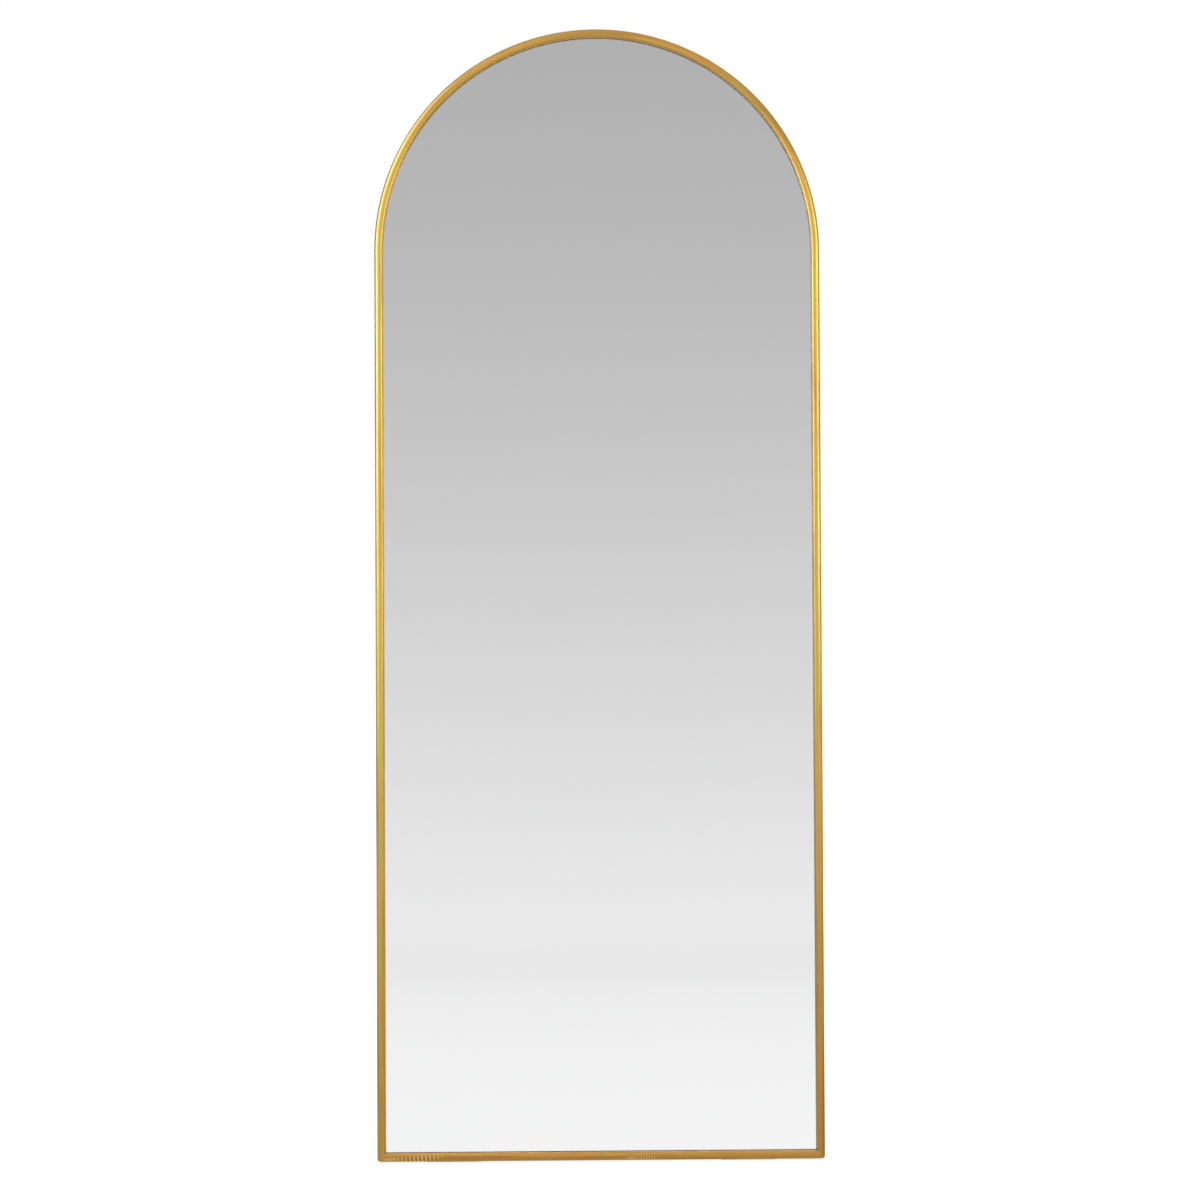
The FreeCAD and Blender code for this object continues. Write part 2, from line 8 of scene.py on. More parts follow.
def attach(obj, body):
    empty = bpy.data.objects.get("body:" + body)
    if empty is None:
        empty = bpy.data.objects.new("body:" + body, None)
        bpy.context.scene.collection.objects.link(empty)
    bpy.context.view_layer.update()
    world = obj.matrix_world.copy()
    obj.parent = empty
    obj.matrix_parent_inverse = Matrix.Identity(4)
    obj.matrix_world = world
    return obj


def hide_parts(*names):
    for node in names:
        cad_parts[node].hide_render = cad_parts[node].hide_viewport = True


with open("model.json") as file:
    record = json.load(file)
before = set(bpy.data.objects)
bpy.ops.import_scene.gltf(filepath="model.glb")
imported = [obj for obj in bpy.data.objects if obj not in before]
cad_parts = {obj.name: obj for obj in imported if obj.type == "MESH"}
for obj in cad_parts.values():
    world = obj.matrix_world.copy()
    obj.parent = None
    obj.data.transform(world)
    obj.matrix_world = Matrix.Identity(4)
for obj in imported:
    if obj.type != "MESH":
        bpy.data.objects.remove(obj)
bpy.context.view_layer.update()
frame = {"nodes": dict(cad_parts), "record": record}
nodes = frame["nodes"]
print("frame loaded:", len(nodes), "nodes")

mm = 0.001

# the mirror's outline and frame section, as in the solid model; u runs inwards, y backwards
outline = {
    "width": 711.0,
    "height": 1803.0,
    "lean": 6.0,
    "wallGap": 1.5,
    "faceWidth": 13.5,
    "depth": 25.4,
    "legWidth": 7.5,
    "lip": 4.0,
    "frontRadius": 3.5,
    "rearRadius": 1.0,
    "shoulderRadius": 0.3,
    "cornerRadius": 5.0,
    "footRear": 24.0,
    "footThickness": 1.5,
}
halfWidth = outline["width"] / 2
springHeight = outline["height"] - halfWidth


def leanMatrix():
    # upright millimetres to the leaning mirror in metres
    lean = math.radians(outline["lean"])
    sine, cosine = math.sin(lean), math.cos(lean)
    wallReach = cosine * outline["depth"] + sine * outline["height"] + outline["wallGap"]
    frontReach = outline["frontRadius"] * (cosine + sine - 1)
    drop = cosine * outline["footThickness"] + sine * outline["footRear"]
    shift = Vector((0, -(frontReach + wallReach) / 2, drop))
    return Matrix.Scale(mm, 4) @ Matrix.Translation(shift) @ Matrix.Rotation(-lean, 4, "X")


def finishPiece(name, bm, material, body, replaced=(), smoothAngle=32):
    # makes the object, rounds its shading by angle, sets it on the mirror's body and hides the solids it
    # replaces
    bm.normal_update()
    mesh = bpy.data.meshes.new(name)
    bm.to_mesh(mesh)
    bm.free()
    mesh.materials.append(material)
    mesh.polygons.foreach_set("use_smooth", [True] * len(mesh.polygons))
    mesh.set_sharp_from_angle(angle=math.radians(smoothAngle))
    piece = bpy.data.objects.new(name, mesh)
    bpy.context.scene.collection.objects.link(piece)
    flat = piece.modifiers.new("flatFaces", "WEIGHTED_NORMAL")  # keeps large faces flat beside eased edges
    flat.keep_sharp = True
    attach(piece, body)
    if replaced:
        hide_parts(*replaced)
    return piece


# shader nodes: an input is a number, a colour or another node's socket
def setInput(tree, socket, value):
    if isinstance(value, bpy.types.NodeSocket):
        tree.links.new(value, socket)
    else:
        socket.default_value = value


def addNode(tree, kind, inputs=None, settings=None):
    node = tree.nodes.new(kind)
    for key, value in (settings or {}).items():
        setattr(node, key, value)
    for key, value in (inputs or {}).items():
        setInput(tree, node.inputs[key], value)
    return node


def mathNode(tree, operation, *values, clamp=False):
    settings = {"operation": operation, "use_clamp": clamp}
    return addNode(tree, "ShaderNodeMath", dict(enumerate(values)), settings).outputs[0]


def vectorNode(tree, operation, *values):
    settings = {"operation": operation}
    return addNode(tree, "ShaderNodeVectorMath", dict(enumerate(values)), settings).outputs[0]


def noiseNode(tree, vector, scale, detail, roughness):
    inputs = {"Vector": vector, "Scale": scale, "Detail": detail, "Roughness": roughness}
    return addNode(tree, "ShaderNodeTexNoise", inputs).outputs


def mapValue(tree, value, fromMin, fromMax, toMin, toMax):
    # a clamped range
    inputs = {"Value": value, "From Min": fromMin, "From Max": fromMax, "To Min": toMin, "To Max": toMax}
    return addNode(tree, "ShaderNodeMapRange", inputs).outputs[0]


def mixColours(tree, factor, first, second, blend="MIX"):
    first, second = ((*side, 1.0) if isinstance(side, tuple) else side for side in (first, second))
    inputs = {0: factor, 6: first, 7: second}  # the colour sockets of the mix node
    return addNode(tree, "ShaderNodeMix", inputs, {"data_type": "RGBA", "blend_type": blend}).outputs[2]


def splitVector(tree, vector):
    return addNode(tree, "ShaderNodeSeparateXYZ", {"Vector": vector}).outputs


def objectPlace(tree):
    return addNode(tree, "ShaderNodeTexCoord").outputs["Object"]


def turnPlace(tree, place, turn):
    return addNode(tree, "ShaderNodeMapping", {"Vector": place, "Rotation": turn}).outputs[0]


# shader groups shared by several materials
def newGroup(name, inputs, outputs):
    # an input without a default is a vector; every other input and output is a number
    group = bpy.data.node_groups.new(name, "ShaderNodeTree")
    for label, default in inputs.items():
        kind = "NodeSocketVector" if default is None else "NodeSocketFloat"
        socket = group.interface.new_socket(label, in_out="INPUT", socket_type=kind)
        if default is not None:
            socket.default_value = default
    for label in outputs:
        group.interface.new_socket(label, in_out="OUTPUT", socket_type="NodeSocketFloat")
    return group, group.nodes.new("NodeGroupInput").outputs, group.nodes.new("NodeGroupOutput").inputs


def perMetre(tree, size):
    # how many features of this size in millimetres lie in a metre
    return mathNode(tree, "DIVIDE", 1000.0, size)


def makeStreakGroup():
    # brushing: long thin lines along the first coordinate, with broader bands under them
    inputs = {"Vector": None, "Length": 60.0, "Width": 0.35, "Contrast": 1.0}
    group, enter, leave = newGroup("brushStreaks", inputs, ["Lines", "Bands"])
    length, width = perMetre(group, enter["Length"]), perMetre(group, enter["Width"])
    slow, broad = mathNode(group, "DIVIDE", length, 3.0), mathNode(group, "DIVIDE", width, 7.0)
    kinds = [("Lines", length, width, 3.0, 0.6), ("Bands", slow, broad, 2.0, 0.5)]
    for label, along, across, detail, roughness in kinds:
        scale = addNode(group, "ShaderNodeCombineXYZ", {"X": along, "Y": across, "Z": across}).outputs[0]
        place = vectorNode(group, "MULTIPLY", enter["Vector"], scale)
        centred = mathNode(group, "SUBTRACT", noiseNode(group, place, 1.0, detail, roughness)["Fac"], 0.5)
        scaled = mathNode(group, "MULTIPLY", centred, enter["Contrast"])
        group.links.new(mathNode(group, "ADD", scaled, 0.5, clamp=True), leave[label])
    return group


def makeGrainGroup():
    # an even fine grain, with larger soft blotches
    inputs = {"Vector": None, "Grain Size": 1.0, "Blotch Size": 40.0}
    group, enter, leave = newGroup("surfaceGrain", inputs, ["Grain", "Blotches"])
    for label, size, detail in (("Grain", "Grain Size", 4.0), ("Blotches", "Blotch Size", 3.0)):
        noise = noiseNode(group, enter["Vector"], perMetre(group, enter[size]), detail, 0.6)
        group.links.new(noise["Fac"], leave[label])
    return group


def makeScratchGroup():
    # sparse handling scratches and rubbed spots
    inputs = {"Vector": None, "Spacing": 30.0, "Amount": 0.5}
    group, enter, leave = newGroup("handlingMarks", inputs, ["Marks"])
    scale = perMetre(group, enter["Spacing"])
    bend = noiseNode(group, enter["Vector"], scale, 1.0, 0.5)
    bent = vectorNode(group, "MULTIPLY_ADD", bend["Color"], (0.02, 0.02, 0.02), enter["Vector"])
    settings = {"feature": "DISTANCE_TO_EDGE"}
    cells = addNode(group, "ShaderNodeTexVoronoi", {"Vector": bent, "Scale": scale}, settings)
    thin = mapValue(group, cells.outputs["Distance"], 0.0, 0.012, 1.0, 0.0)
    patches = mapValue(group, bend["Fac"], 0.5, 0.62, 0.0, 1.0)
    marks = mathNode(group, "MULTIPLY", thin, patches)
    group.links.new(mathNode(group, "MULTIPLY", marks, enter["Amount"], clamp=True), leave["Marks"])
    return group


def makeTickGroup():
    # a light streak that breaks up into soft light and dark ticks
    names = ("Position", "Level", "Start", "Peak", "End", "Pitch", "Reach", "Climb", "Strength")
    group, enter, leave = newGroup("lightDarkTicks", dict.fromkeys(names, 0.0), ["Light", "Dark"])
    position, level, start, peak, end, pitch, reach, climb, strength = (enter[name] for name in names)

    def product(*values):
        total = values[0]
        for value in values[1:]:
            total = mathNode(group, "MULTIPLY", total, value)
        return total

    beyond = mathNode(group, "SUBTRACT", position, start)
    offset = mathNode(group, "SUBTRACT", level, product(climb, beyond))
    slanted = mathNode(group, "ADD", beyond, product(offset, 0.2))
    wave = mathNode(group, "SINE", product(mathNode(group, "DIVIDE", slanted, pitch), 2 * math.pi))
    grown = mapValue(group, position, start, peak, 0.0, 1.0)
    broken = mapValue(group, grown, 0.10, 0.45, 0.0, 1.0)
    signed = mathNode(group, "ADD", product(broken, mathNode(group, "SUBTRACT", wave, 1.0)), 1.0)
    begun = mapValue(group, beyond, -0.008, 0.002, 0.0, 1.0)
    fading = mapValue(group, position, peak, end, 1.0, 0.0)
    tall = product(reach, mapValue(group, grown, 0.0, 1.0, 0.4, 1.0))
    off = mathNode(group, "DIVIDE", mathNode(group, "ABSOLUTE", offset), tall)
    inside = mapValue(group, off, 0.4, 1.0, 1.0, 0.0)
    ticks = product(signed, begun, fading, mapValue(group, grown, 0.0, 1.0, 0.6, 1.0), inside, strength)
    group.links.new(mathNode(group, "MAXIMUM", ticks, 0.0), leave["Light"])
    group.links.new(product(mathNode(group, "MINIMUM", ticks, 0.0), -1.0), leave["Dark"])
    return group


streakGroup = makeStreakGroup()
grainGroup = makeGrainGroup()
scratchGroup = makeScratchGroup()
tickGroup = makeTickGroup()
print("shader groups ready")


def newMaterial(name, look):
    # a material with its Principled shader, the fixed values set on the shader itself
    material = bpy.data.materials.new(name)
    material.use_nodes = True
    tree = material.node_tree
    shader = tree.nodes["Principled BSDF"]
    for key, value in look.items():
        shader.inputs[key].default_value = value
    return material, tree, shader


def useGroup(tree, group, inputs):
    return addNode(tree, "ShaderNodeGroup", inputs, {"node_tree": group}).outputs


def useGrain(tree, place, grainSize, blotchSize):
    # the fine grain and the larger blotches
    inputs = {"Vector": place, "Grain Size": grainSize, "Blotch Size": blotchSize}
    grain = useGroup(tree, grainGroup, inputs)
    return grain["Grain"], grain["Blotches"]


def setSurface(tree, shader, base, roughness, height, bump):
    # bump is (strength, metres)
    tree.links.new(base, shader.inputs["Base Color"])
    tree.links.new(roughness, shader.inputs["Roughness"])
    inputs = {"Height": height, "Strength": bump[0], "Distance": bump[1]}
    tree.links.new(addNode(tree, "ShaderNodeBump", inputs).outputs["Normal"], shader.inputs["Normal"])


# brushed and lacquered brass colour on the frame, with painted light: yellower at mid height where the side
# lamps fall, browner low and at the crown where less light reaches
brassLook = {
    "yellow": (0.72, 0.482, 0.070),
    "brown": (0.60, 0.302, 0.033),
    "railBrown": (0.66, 0.330, 0.036),
    "warm": (1.03, 0.96, 0.92),   # broad blotches lean a little to red or to green
    "green": (0.98, 1.03, 1.02),
    "grain": (1.5, 110.0),        # grain and blotches in millimetres
    "shade": (0.72, 0.64, 0.54),  # what a dark streak does to the colour
    "gleam": (1.15, 1.19, 1.40),  # what a light streak does to it
    "shadeRange": (0.50, 0.10, 0.0, 0.9),
    "gleamRange": (0.50, 0.90, 0.0, 0.8),
    "streak": {"Length": 75.0, "Width": 1.2, "Contrast": 2.2},
    "roughness": (0.30, 0.40),
    "coat": (1.0, 0.16),          # weight and roughness
    "coatIor": 1.62,
    "paintedLightFrom": (0.10, 1.00),   # metres up, where the painted light rises
    # where the painted light fades to brown again towards the crown, in metres up
    "paintedShadeAgain": (1.45, 1.72),
    "crownPaintedLight": 0.36,            # how yellow the crown stays under the painted light
    "leftPaintedLight": 0.34,             # the left leg is this much yellower low down, painted light from the stronger left lamp
    "leftToRight": (-0.2, 0.2),   # metres across
    "scratch": (0.92, 0.72, 0.34),
    "marks": {"Spacing": 45.0, "Amount": 0.12},
    "bump": (0.10, 0.00003),
}
# two runs of ticks on the rail, in metres: across from the middle, and up the section
railTicks = {
    "level": 0.0347,              # round the section from its rear inner edge
    "light": (1.0, 0.77, 0.28),
    "dark": (0.42, 0.20, 0.022),
    "left": {
        "Start": -0.343, "Peak": -0.276, "End": -0.246, "Pitch": 0.00636, "Reach": 0.0064,
        "Climb": 0.018, "Strength": 1.0,
    },
    "middle": {
        "Start": 0.044, "Peak": 0.074, "End": 0.100, "Pitch": 0.0044, "Reach": 0.0044,
        "Climb": 0.0, "Strength": 1.0,
    },
}


def paintedLightTone(tree, height, across):
    # painted light: 0 brown, 1 yellow, by height on the frame, and a little more on the left where the left
    # lamp is stronger
    rise = mapValue(tree, height, *brassLook["paintedLightFrom"], 0.0, 1.0)
    side = mapValue(tree, across, *brassLook["leftToRight"], brassLook["leftPaintedLight"], 0.0)
    fall = mapValue(tree, height, *brassLook["paintedShadeAgain"], 1.0, brassLook["crownPaintedLight"])
    return mathNode(tree, "MULTIPLY", mathNode(tree, "ADD", rise, side, clamp=True), fall)


def addTicks(tree, base, across, path):
    level = mathNode(tree, "SUBTRACT", splitVector(tree, path)["Y"], railTicks["level"])
    for run in ("left", "middle"):
        ticks = useGroup(tree, tickGroup, {"Position": across, "Level": level, **railTicks[run]})
        base = mixColours(tree, ticks["Light"], base, railTicks["light"])
        base = mixColours(tree, ticks["Dark"], base, railTicks["dark"])
    return base


def makeBrass(name, isRail):
    look = brassLook
    weight, gloss = look["coat"]
    coated = {"Metallic": 1.0, "Coat Weight": weight, "Coat Roughness": gloss, "Coat IOR": look["coatIor"]}
    material, tree, shader = newMaterial(name, coated)
    path = addNode(tree, "ShaderNodeUVMap", settings={"uv_map": "alongFrame"}).outputs[0]
    streaks = useGroup(tree, streakGroup, {"Vector": path, **look["streak"]})
    place = objectPlace(tree)
    across, _, height = splitVector(tree, place)
    _, blotches = useGrain(tree, place, *look["grain"])
    marks = useGroup(tree, scratchGroup, {"Vector": place, **look["marks"]})["Marks"]
    base = look["railBrown"]
    # painted light on the hoop: yellower where the side lamps fall, browner where they don't
    if not isRail:
        base = mixColours(tree, paintedLightTone(tree, height, across), look["brown"], look["yellow"])
    lean = mixColours(tree, mapValue(tree, blotches, 0.35, 0.65, 0.0, 1.0), look["warm"], look["green"])
    base = mixColours(tree, 1.0, base, lean, "MULTIPLY")
    dark = mapValue(tree, streaks["Bands"], *look["shadeRange"])
    base = mixColours(tree, dark, base, look["shade"], "MULTIPLY")
    light = mapValue(tree, streaks["Lines"], *look["gleamRange"])
    base = mixColours(tree, light, base, look["gleam"], "MULTIPLY")
    if isRail:
        base = addTicks(tree, base, across, path)
    base = mixColours(tree, marks, base, look["scratch"])
    low, high = look["roughness"]
    roughness = mapValue(tree, streaks["Lines"], 0.2, 0.8, high, low)
    setSurface(tree, shader, base, roughness, streaks["Lines"], look["bump"])
    return material


# plated steel on the bars, clips, straps, rings and screws
steelLook = {
    "light": (0.72, 0.72, 0.70),
    "dark": (0.60, 0.61, 0.62),
    "brushed": (0.80, 0.80, 0.78),
    "mark": (0.42, 0.42, 0.43),
    "streak": {"Length": 30.0, "Width": 0.5, "Contrast": 1.6},
    "marks": {"Spacing": 16.0, "Amount": 0.5},
    "grain": 0.9,
    "spangle": 9.0,
    "roughness": (0.26, 0.40),
    "bump": (0.2, 0.00004),
}


def makePlatedSteel():
    look = steelLook
    material, tree, shader = newMaterial("platedSteel", {"Metallic": 1.0})
    place = objectPlace(tree)
    streaks = useGroup(tree, streakGroup, {"Vector": place, **look["streak"]})["Lines"]
    grain, blotches = useGrain(tree, place, look["grain"], look["spangle"])
    marks = useGroup(tree, scratchGroup, {"Vector": place, **look["marks"]})["Marks"]
    base = mixColours(tree, mapValue(tree, blotches, 0.35, 0.65, 0.0, 1.0), look["dark"], look["light"])
    base = mixColours(tree, mapValue(tree, streaks, 0.35, 0.75, 0.0, 0.5), base, look["brushed"])
    base = mixColours(tree, marks, base, look["mark"])
    roughness = mapValue(tree, grain, 0.3, 0.7, *look["roughness"])
    setSurface(tree, shader, base, roughness, mathNode(tree, "ADD", streaks, grain), look["bump"])
    return material


# fibreboard back
boardLook = {
    "light": (0.60, 0.43, 0.26),
    "mid": (0.50, 0.34, 0.19),
    "dark": (0.30, 0.19, 0.10),
    "fibre": (0.72, 0.56, 0.38),
    "fibreSize": {"Length": 9.0, "Width": 0.7, "Contrast": 2.0},
    "fibreTurns": (0.35, 1.4, 2.5),
    "fibreRange": (0.66, 0.86, 0.0, 1.0),
    "fibreShare": 0.45,
    "grainRange": (0.42, 0.62, 0.0, 0.35),
    "speckRange": (0.60, 0.72, 0.0, 0.55),
    "grain": (2.6, 130.0),        # grain and blotches in millimetres
    "speck": (0.7, 9.0),
    "roughness": (0.62, 0.85),
    "bump": (0.35, 0.00012),
}


def makeFibreboard():
    look = boardLook
    material, tree, shader = newMaterial("fibreboardBack", {"Metallic": 0.0, "Specular IOR Level": 0.35})
    place = turnPlace(tree, objectPlace(tree), (math.radians(outline["lean"]), 0.0, 0.0))  # upright again
    grain, blotches = useGrain(tree, place, *look["grain"])
    speck, _ = useGrain(tree, place, *look["speck"])
    fibres = 0.0
    for turn in look["fibreTurns"]:
        turned = turnPlace(tree, place, (0.0, turn, 0.0))
        lines = useGroup(tree, streakGroup, {"Vector": turned, **look["fibreSize"]})["Lines"]
        fibres = mathNode(tree, "MAXIMUM", fibres, mapValue(tree, lines, *look["fibreRange"]))
    base = mixColours(tree, mapValue(tree, blotches, 0.3, 0.7, 0.0, 1.0), look["mid"], look["light"])
    base = mixColours(tree, mapValue(tree, grain, *look["grainRange"]), base, look["dark"])
    base = mixColours(tree, mathNode(tree, "MULTIPLY", fibres, look["fibreShare"]), base, look["fibre"])
    base = mixColours(tree, mapValue(tree, speck, *look["speckRange"]), base, look["dark"])
    roughness = mapValue(tree, speck, 0.3, 0.7, *look["roughness"])
    setSurface(tree, shader, base, roughness, mathNode(tree, "ADD", fibres, speck), look["bump"])
    return material


# rubber, foam, film and tape: grain in millimetres, bump in metres
softLooks = {
    "clear_tape": {
        "name": "glazingTape", "dark": (0.62, 0.58, 0.48), "light": (0.70, 0.66, 0.56), "grain": 0.6,
        "roughness": 0.55, "bump": 0.00003,
    },
    "grey_film": {
        "name": "protectiveFilm", "dark": (0.40, 0.41, 0.43), "light": (0.48, 0.49, 0.51), "grain": 1.2,
        "roughness": 0.45, "bump": 0.00003,
    },
    "foam_tape": {
        "name": "foamTape", "dark": (0.80, 0.80, 0.77), "light": (0.88, 0.88, 0.86), "grain": 0.9,
        "roughness": 0.85, "bump": 0.0001,
    },
    "black_rubber": {
        "name": "mouldedRubber", "dark": (0.018, 0.018, 0.019), "light": (0.035, 0.035, 0.036), "grain": 0.5,
        "roughness": 0.62, "bump": 0.00006,
    },
    "clear_rubber": {
        "name": "clearRubber", "dark": (0.60, 0.60, 0.58), "light": (0.70, 0.70, 0.68), "grain": 0.8,
        "roughness": 0.40, "bump": 0.00003,
    },
}
softGrain = {"blotchByGrain": 14.0, "roughnessEitherWay": 0.08, "bumpStrength": 0.3}


def makeSoft(look):
    material, tree, shader = newMaterial(look["name"], {"Metallic": 0.0, "Specular IOR Level": 0.4})
    blotch = look["grain"] * softGrain["blotchByGrain"]
    grain, blotches = useGrain(tree, objectPlace(tree), look["grain"], blotch)
    base = mixColours(tree, mapValue(tree, blotches, 0.3, 0.7, 0.0, 1.0), look["dark"], look["light"])
    smoother, rougher = (look["roughness"] + way * softGrain["roughnessEitherWay"] for way in (-1, 1))
    roughness = mapValue(tree, grain, 0.3, 0.7, smoother, rougher)
    setSurface(tree, shader, base, roughness, grain, (softGrain["bumpStrength"], look["bump"]))
    return material


# cast corner keys
castLook = {
    "dark": (0.48, 0.48, 0.49),
    "light": (0.62, 0.62, 0.63),
    "grain": (0.8, 12.0),
    "roughness": (0.45, 0.65),
    "bump": (0.4, 0.0001),
}


def makeCastKey():
    look = castLook
    material, tree, shader = newMaterial("castKey", {"Metallic": 1.0})
    grain, blotches = useGrain(tree, objectPlace(tree), *look["grain"])
    base = mixColours(tree, mapValue(tree, blotches, 0.3, 0.7, 0.0, 1.0), look["dark"], look["light"])
    roughness = mapValue(tree, grain, 0.3, 0.7, *look["roughness"])
    setSurface(tree, shader, base, roughness, grain, look["bump"])
    return material


# glass and silver: the pane is clear and clean, with only a trace of wiping left on it
glassLook = {
    "tint": (0.980, 0.984, 0.981),
    "ior": 1.52,
    "wiped": 0.006,
    "wiping": {"Length": 900.0, "Width": 60.0, "Contrast": 1.6},
}
silverLook = {
    "light": (0.955, 0.957, 0.955),
    "dark": (0.945, 0.948, 0.946),
    "roughness": (0.003, 0.007),
    "grain": (30.0, 400.0),
}


def makePane():
    look = {"Base Color": (*glassLook["tint"], 1.0), "IOR": glassLook["ior"], "Transmission Weight": 1.0}
    material, tree, shader = newMaterial("paneGlass", look)
    wiping = useGroup(tree, streakGroup, {"Vector": objectPlace(tree), **glassLook["wiping"]})["Bands"]
    tree.links.new(mapValue(tree, wiping, 0.45, 0.85, 0.0, glassLook["wiped"]), shader.inputs["Roughness"])
    return material


def makeSilver():
    look = silverLook
    material, tree, shader = newMaterial("silverCoat", {"Metallic": 1.0})
    _, blotches = useGrain(tree, objectPlace(tree), *look["grain"])
    base = mixColours(tree, mapValue(tree, blotches, 0.3, 0.7, 0.0, 1.0), look["dark"], look["light"])
    tree.links.new(base, shader.inputs["Base Color"])
    tree.links.new(mapValue(tree, blotches, 0.3, 0.7, *look["roughness"]), shader.inputs["Roughness"])
    return material


materials = {
    "brass_frame": makeBrass("brushedBrass", False),
    "brass_rail": makeBrass("brushedBrassRail", True),
    "cast_key": makeCastKey(),
    "zinc_steel": makePlatedSteel(),
    "clear_glass": makePane(),
    "silver_coating": makeSilver(),
    "fibreboard": makeFibreboard(),
    **{slotName: makeSoft(look) for slotName, look in softLooks.items()},
}
print("materials ready")


# frame hoop and rail: the section swept along its path, with a map that follows it
frameShape = {"noseCurve": 2.3, "noseSteps": 28, "cornerSteps": 5, "mitreSteps": 8, "archSteps": 144}


def quarterTurn(corner, radius, before, after, steps):
    # a rounded corner between the directions back along the outline and on along it
    centre = corner + (before + after) * radius
    for k in range(steps + 1):
        angle = math.pi / 2 * k / steps
        yield centre - after * radius * math.cos(angle) - before * radius * math.sin(angle)


def noseHeight(inwards):
    # how far the crowned nose lies behind the foremost line, at a distance in from the outer side
    share = abs(2 * inwards / outline["faceWidth"] - 1)
    fullness = (1 - min(share, 1.0) ** frameShape["noseCurve"]) ** (1 / frameShape["noseCurve"])
    return outline["frontRadius"] * (1 - fullness)


def sectionPoints():
    # the outside of the frame section as (u, y): round the back, the crowned nose and the lip
    o = outline
    inwards, backwards = Vector((1, 0)), Vector((0, 1))
    points = [Vector((o["legWidth"], o["depth"]))]
    rearCorner, lipCorner = Vector((0, o["depth"])), Vector((o["faceWidth"], o["lip"]))
    points += quarterTurn(rearCorner, o["rearRadius"], inwards, -backwards, frameShape["cornerSteps"])
    steps = frameShape["noseSteps"]
    # closer together towards the sides, and one on the axis that the outer corner turns about
    shares = [(1 - math.cos(math.pi * k / steps)) / 2 for k in range(steps + 1)]
    widths = [o["faceWidth"] * (3 * f * f - 2 * f ** 3 + f) / 2 for f in shares]
    points += [Vector((u, noseHeight(u))) for u in sorted([*widths, o["cornerRadius"]])]
    points += quarterTurn(lipCorner, o["shoulderRadius"], -backwards, -inwards, frameShape["cornerSteps"])
    return points + [Vector((o["legWidth"], o["lip"]))]


def startSection(bm):
    # the section as one face, each point keeping its distance round the section and inwards
    around = bm.verts.layers.float.new("around")
    inwards = bm.verts.layers.float.new("inwards")
    total, last, verts = 0.0, None, []
    for point in sectionPoints():
        total += (point - last).length if last else 0.0
        last = point
        vert = bm.verts.new(Vector((point.x, point.y, 0)))
        vert[around] = total * mm
        vert[inwards] = point.x
        verts.append(vert)
    return bm.faces.new(verts)


def growFace(bm, face, move, first=False):
    # grows the swept piece from its end face and returns the new end face
    grown = bmesh.ops.extrude_face_region(bm, geom=[face])["geom"]
    bmesh.ops.translate(bm, verts=[g for g in grown if isinstance(g, bmesh.types.BMVert)], vec=move)
    if face.is_valid and not first:
        bm.faces.remove(face)
    return [g for g in grown if isinstance(g, bmesh.types.BMFace)][0]


def turnCorner(bm, face, corner, across, along, share):
    # the outer strip goes round, from 0, square across, to 1, on the mitre; the rest stays on the mitre
    radius = outline["cornerRadius"]
    inwards = bm.verts.layers.float["inwards"]
    angle = math.pi / 4 * share
    for v in face.verts:
        u = v[inwards]
        side, rise = u, u
        if u < radius:
            side = radius - (radius - u) * math.cos(angle)
            rise = radius - (radius - u) * math.sin(angle)
        v.co = corner + across * side + along * rise + Vector((0, v.co.y, 0))


def mapAlong(bm, distance):
    # the piece's own map: metres along the path, metres round the section
    around = bm.verts.layers.float["around"]
    uv = bm.loops.layers.uv.new("alongFrame")
    for face in bm.faces:
        for loop in face.loops:
            loop[uv].uv = (distance(loop.vert.co) * mm, loop.vert[around])


def sweepFrame(name, material, node, ends, middle, distance):
    # from the first mitre, along the middle, to the second mitre
    steps = frameShape["mitreSteps"]
    bm = bmesh.new()
    face = startSection(bm)
    corner, across, along = ends[0]
    turnCorner(bm, face, corner, across, along, 1.0)
    for k in range(steps - 1, -1, -1):
        face = growFace(bm, face, Vector(), first=(k == steps - 1))
        turnCorner(bm, face, corner, across, along, k / steps)
    face = middle(bm, face)
    corner, across, along = ends[1]
    turnCorner(bm, face, corner, across, along, 0.0)
    for k in range(1, steps + 1):
        face = growFace(bm, face, Vector())
        turnCorner(bm, face, corner, across, along, k / steps)
    bmesh.ops.remove_doubles(bm, verts=bm.verts, dist=1e-3)  # the points on the corners' axes
    bmesh.ops.recalc_face_normals(bm, faces=bm.faces)
    mapAlong(bm, distance)
    bm.transform(leanMatrix())
    return finishPiece(name, bm, material, "mirror", [node])


right, up = Vector((1, 0, 0)), Vector((0, 0, 1))
leftCorner, rightCorner = Vector((-halfWidth, 0, 0)), Vector((halfWidth, 0, 0))


def hoopMiddle(bm, face):
    leg = up * (springHeight - outline["cornerRadius"])
    face = growFace(bm, face, leg)
    for v in face.verts:
        v.co.z = springHeight
    swept = bmesh.ops.spin(
        bm, geom=[face, *face.edges, *face.verts], cent=up * springHeight, axis=(0, 1, 0),
        angle=math.pi, steps=frameShape["archSteps"], use_merge=False, use_duplicate=False,
    )
    if face.is_valid:
        bm.faces.remove(face)
    last = [g for g in swept["geom_last"] if isinstance(g, bmesh.types.BMFace)][0]
    return growFace(bm, last, -leg)


def hoopDistance(point):
    if point.z > springHeight:
        return springHeight + halfWidth * (math.pi - math.atan2(point.z - springHeight, point.x))
    return point.z if point.x < 0 else 2 * springHeight + math.pi * halfWidth - point.z


